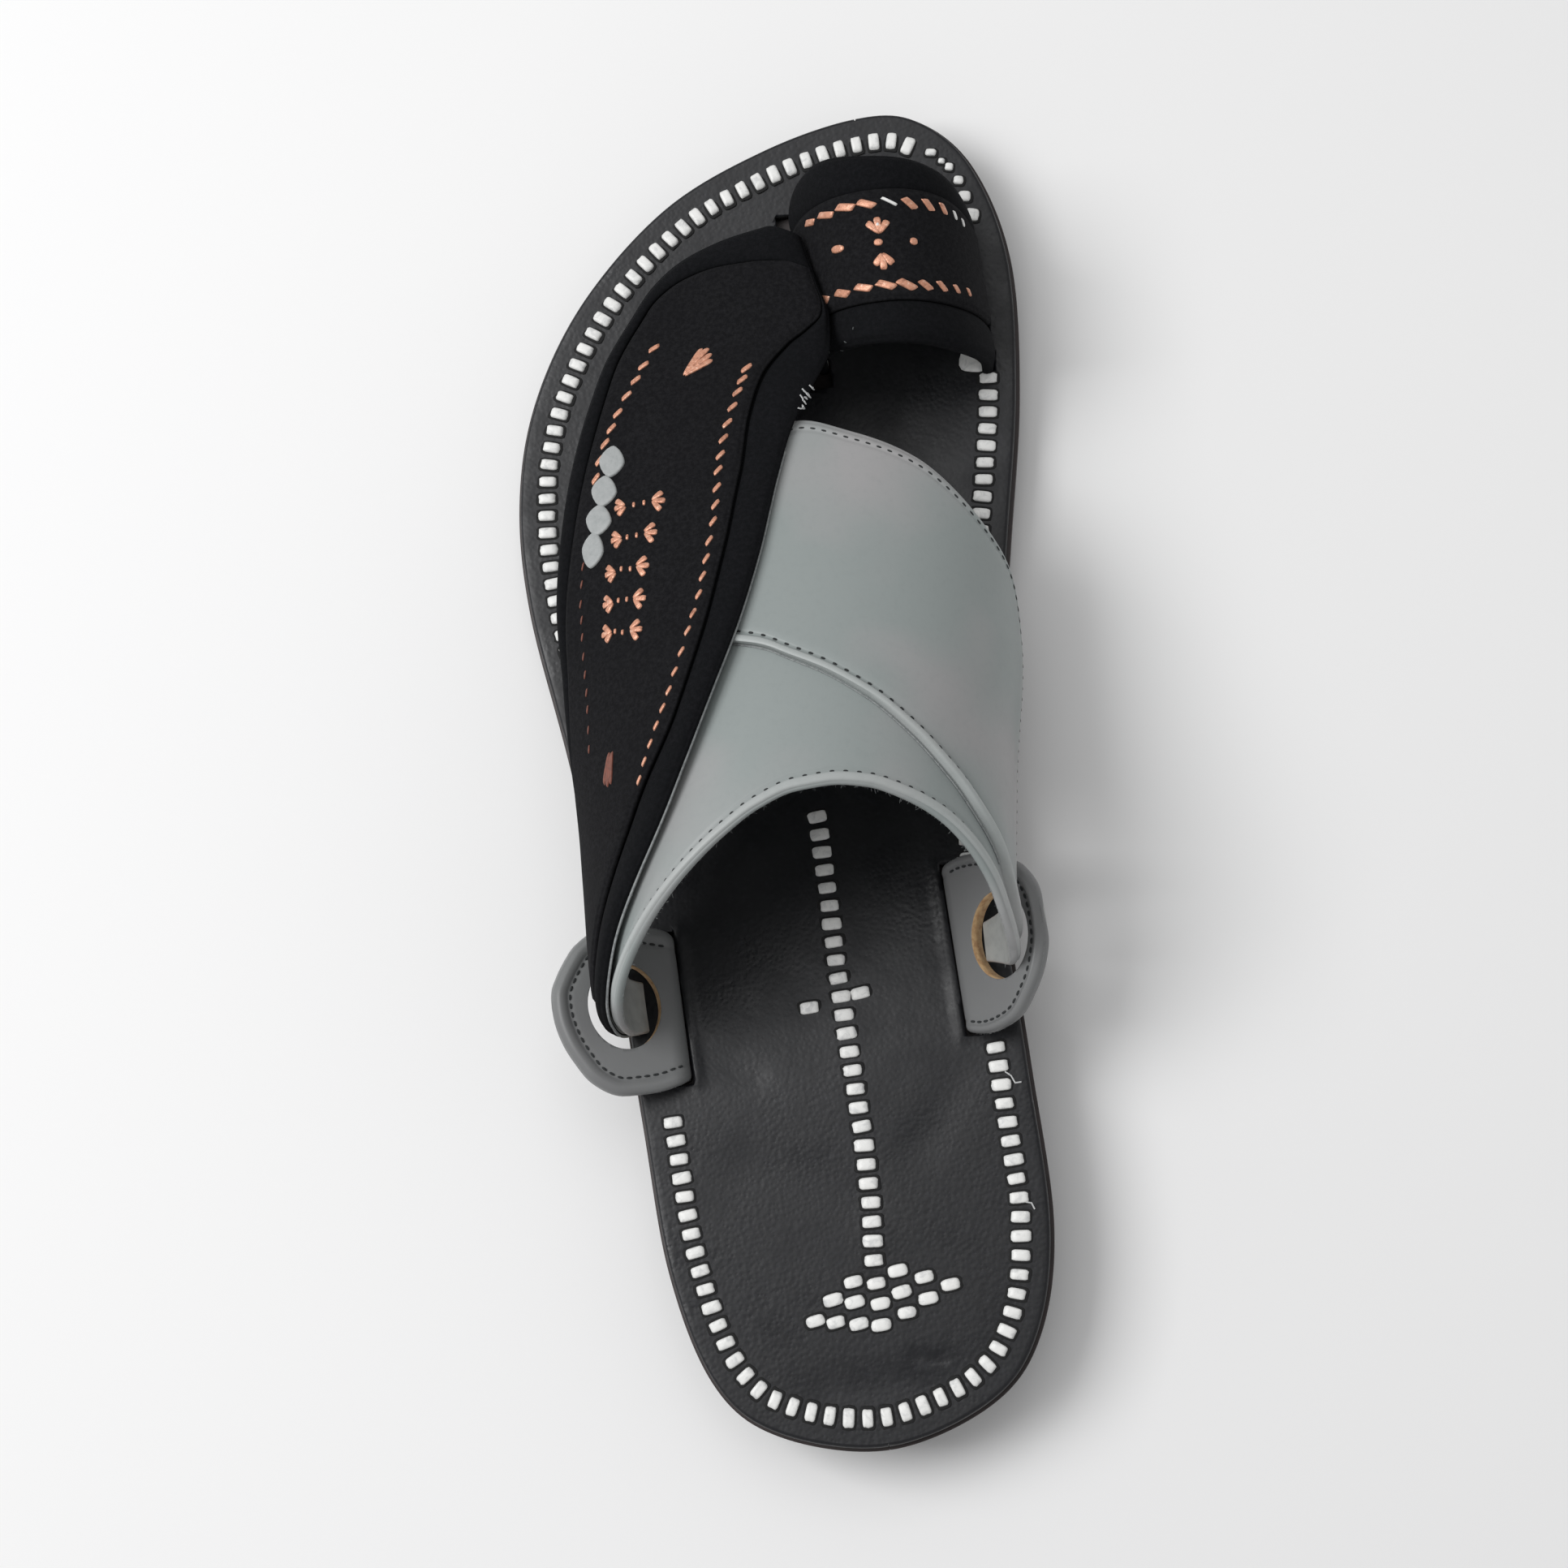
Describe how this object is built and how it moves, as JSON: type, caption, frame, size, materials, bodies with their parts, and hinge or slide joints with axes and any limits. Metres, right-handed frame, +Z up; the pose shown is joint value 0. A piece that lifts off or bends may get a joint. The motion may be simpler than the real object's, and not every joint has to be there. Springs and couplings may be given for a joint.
{
  "type": "arabic sandal",
  "caption": "Open leather sandal for the left foot with a wide grey instep saddle, a decorated suede leaf strap, a big-toe loop and side ears on a layered sole with a low heel.",
  "frame": {"origin": "on the floor under the middle of the sandal's bounding box", "axes": "+Y from heel to toe, +X towards the big-toe side, +Z up"},
  "size_m": [0.1216, 0.2876, 0.0771],
  "materials": {
    "black_rubber": "matt moulded rubber",
    "brown_leather": "dark brown sole leather, waxed cut edge",
    "black_leather": "smooth black footbed leather, half gloss",
    "grey_leather": "smooth cool grey leather, soft gloss",
    "ear_leather": "mid grey leather, soft gloss",
    "black_suede": "black suede, short nap",
    "white_thong": "white leather thong, satin",
    "copper_thong": "copper foil leather thong, metallic sheen"
  },
  "bodies": {
    "root": {"outsole": "black_rubber", "heel": "black_rubber", "midsole": "brown_leather", "insole": "black_leather", "upper": "grey_leather", "leaf_strap": "black_suede", "leaf_panel": "black_suede", "toe_loop": "black_suede", "toe_band": "black_suede", "ear_lateral": "ear_leather", "ear_medial": "ear_leather"}
  },
  "joints": []
}
